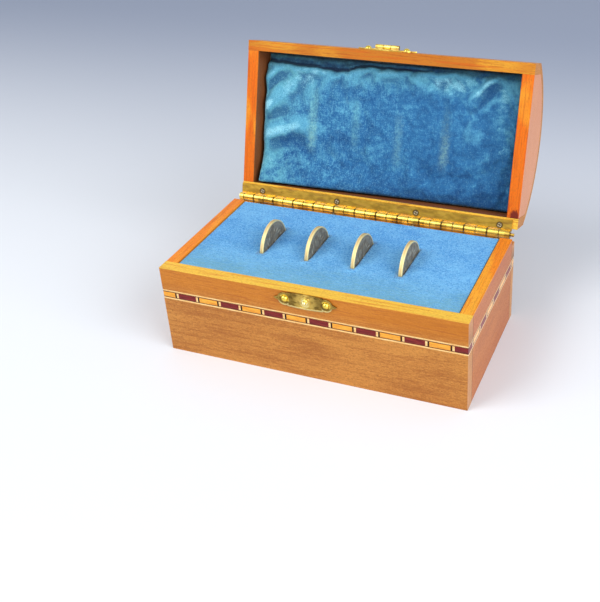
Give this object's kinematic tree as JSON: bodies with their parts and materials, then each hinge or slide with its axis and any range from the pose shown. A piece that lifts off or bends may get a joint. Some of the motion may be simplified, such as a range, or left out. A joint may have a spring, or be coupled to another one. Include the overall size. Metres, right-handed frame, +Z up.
{
  "type": "coin chest",
  "caption": "Small wooden chest with a domed hinged lid, a hasp clasp, inlaid banding, a felt pad with slots that hold coins on edge, and a velvet cushion in the lid.",
  "frame": {"origin": "centre of the base's flat underside", "axes": "+X to the viewer's right along the front, +Y from the front to the hinge, +Z up"},
  "size_m": [0.178, 0.1588, 0.1466],
  "materials": {
    "wood": "satin",
    "plain_wood": "satin",
    "light_line": "satin",
    "dark_line": "satin",
    "light_block": "satin",
    "dark_block": "satin",
    "brass": "polished",
    "screw": "satin",
    "felt": "matt",
    "velvet": "matt",
    "board": "matt",
    "coin": "polished"
  },
  "bodies": {
    "base": {"front_board": "wood", "back_board": "wood", "left_board": "wood", "right_board": "wood", "bottom_panel": "plain_wood", "left_cleat": "plain_wood", "right_cleat": "plain_wood", "slotted_block": "plain_wood", "pad_felt": "felt", "inlay_light_lines": "light_line", "inlay_dark_lines": "dark_line", "inlay_light_blocks": "light_block", "inlay_dark_blocks": "dark_block", "lower_hinge_leaf": "brass", "hinge_pin": "brass", "lower_leaf_screws": "screw", "strike_plate": "brass", "strike_knob": "brass", "strike_nails": "brass"},
    "lid": {"lid_front_board": "wood", "lid_back_board": "wood", "lid_left_end": "wood", "lid_right_end": "wood", "lid_top_panel": "wood", "cushion_board": "board", "lid_cushion": "velvet", "upper_hinge_leaf": "brass", "upper_leaf_screws": "screw", "hasp_plate": "brass", "hasp_nails": "brass", "hasp_pin": "brass"},
    "hasp": {"hasp_tongue": "brass"},
    "coin_1_body": {"coin_1": "coin"},
    "coin_2_body": {"coin_2": "coin"},
    "coin_3_body": {"coin_3": "coin"},
    "coin_4_body": {"coin_4": "coin"}
  },
  "joints": [
    {"name": "lid_hinge", "type": "hinge", "parent": "base", "child": "lid", "pos_m": [0, 0.0499, 0.0529], "axis": [-1, 0, 0], "range_deg": [-107.4, 0]},
    {"name": "hasp_hinge", "type": "hinge", "parent": "lid", "child": "hasp", "pos_m": [0, 0.08638, 0.14522], "axis": [-1, 0, 0], "range_deg": [-187.4, 0]},
    {"name": "coin_1_lift", "type": "slide", "parent": "base", "child": "coin_1_body", "axis": [0, 0, 1], "range_m": [0, 0.03]},
    {"name": "coin_2_lift", "type": "slide", "parent": "base", "child": "coin_2_body", "axis": [0, 0, 1], "range_m": [0, 0.03]},
    {"name": "coin_3_lift", "type": "slide", "parent": "base", "child": "coin_3_body", "axis": [0, 0, 1], "range_m": [0, 0.03]},
    {"name": "coin_4_lift", "type": "slide", "parent": "base", "child": "coin_4_body", "axis": [0, 0, 1], "range_m": [0, 0.03]}
  ]
}
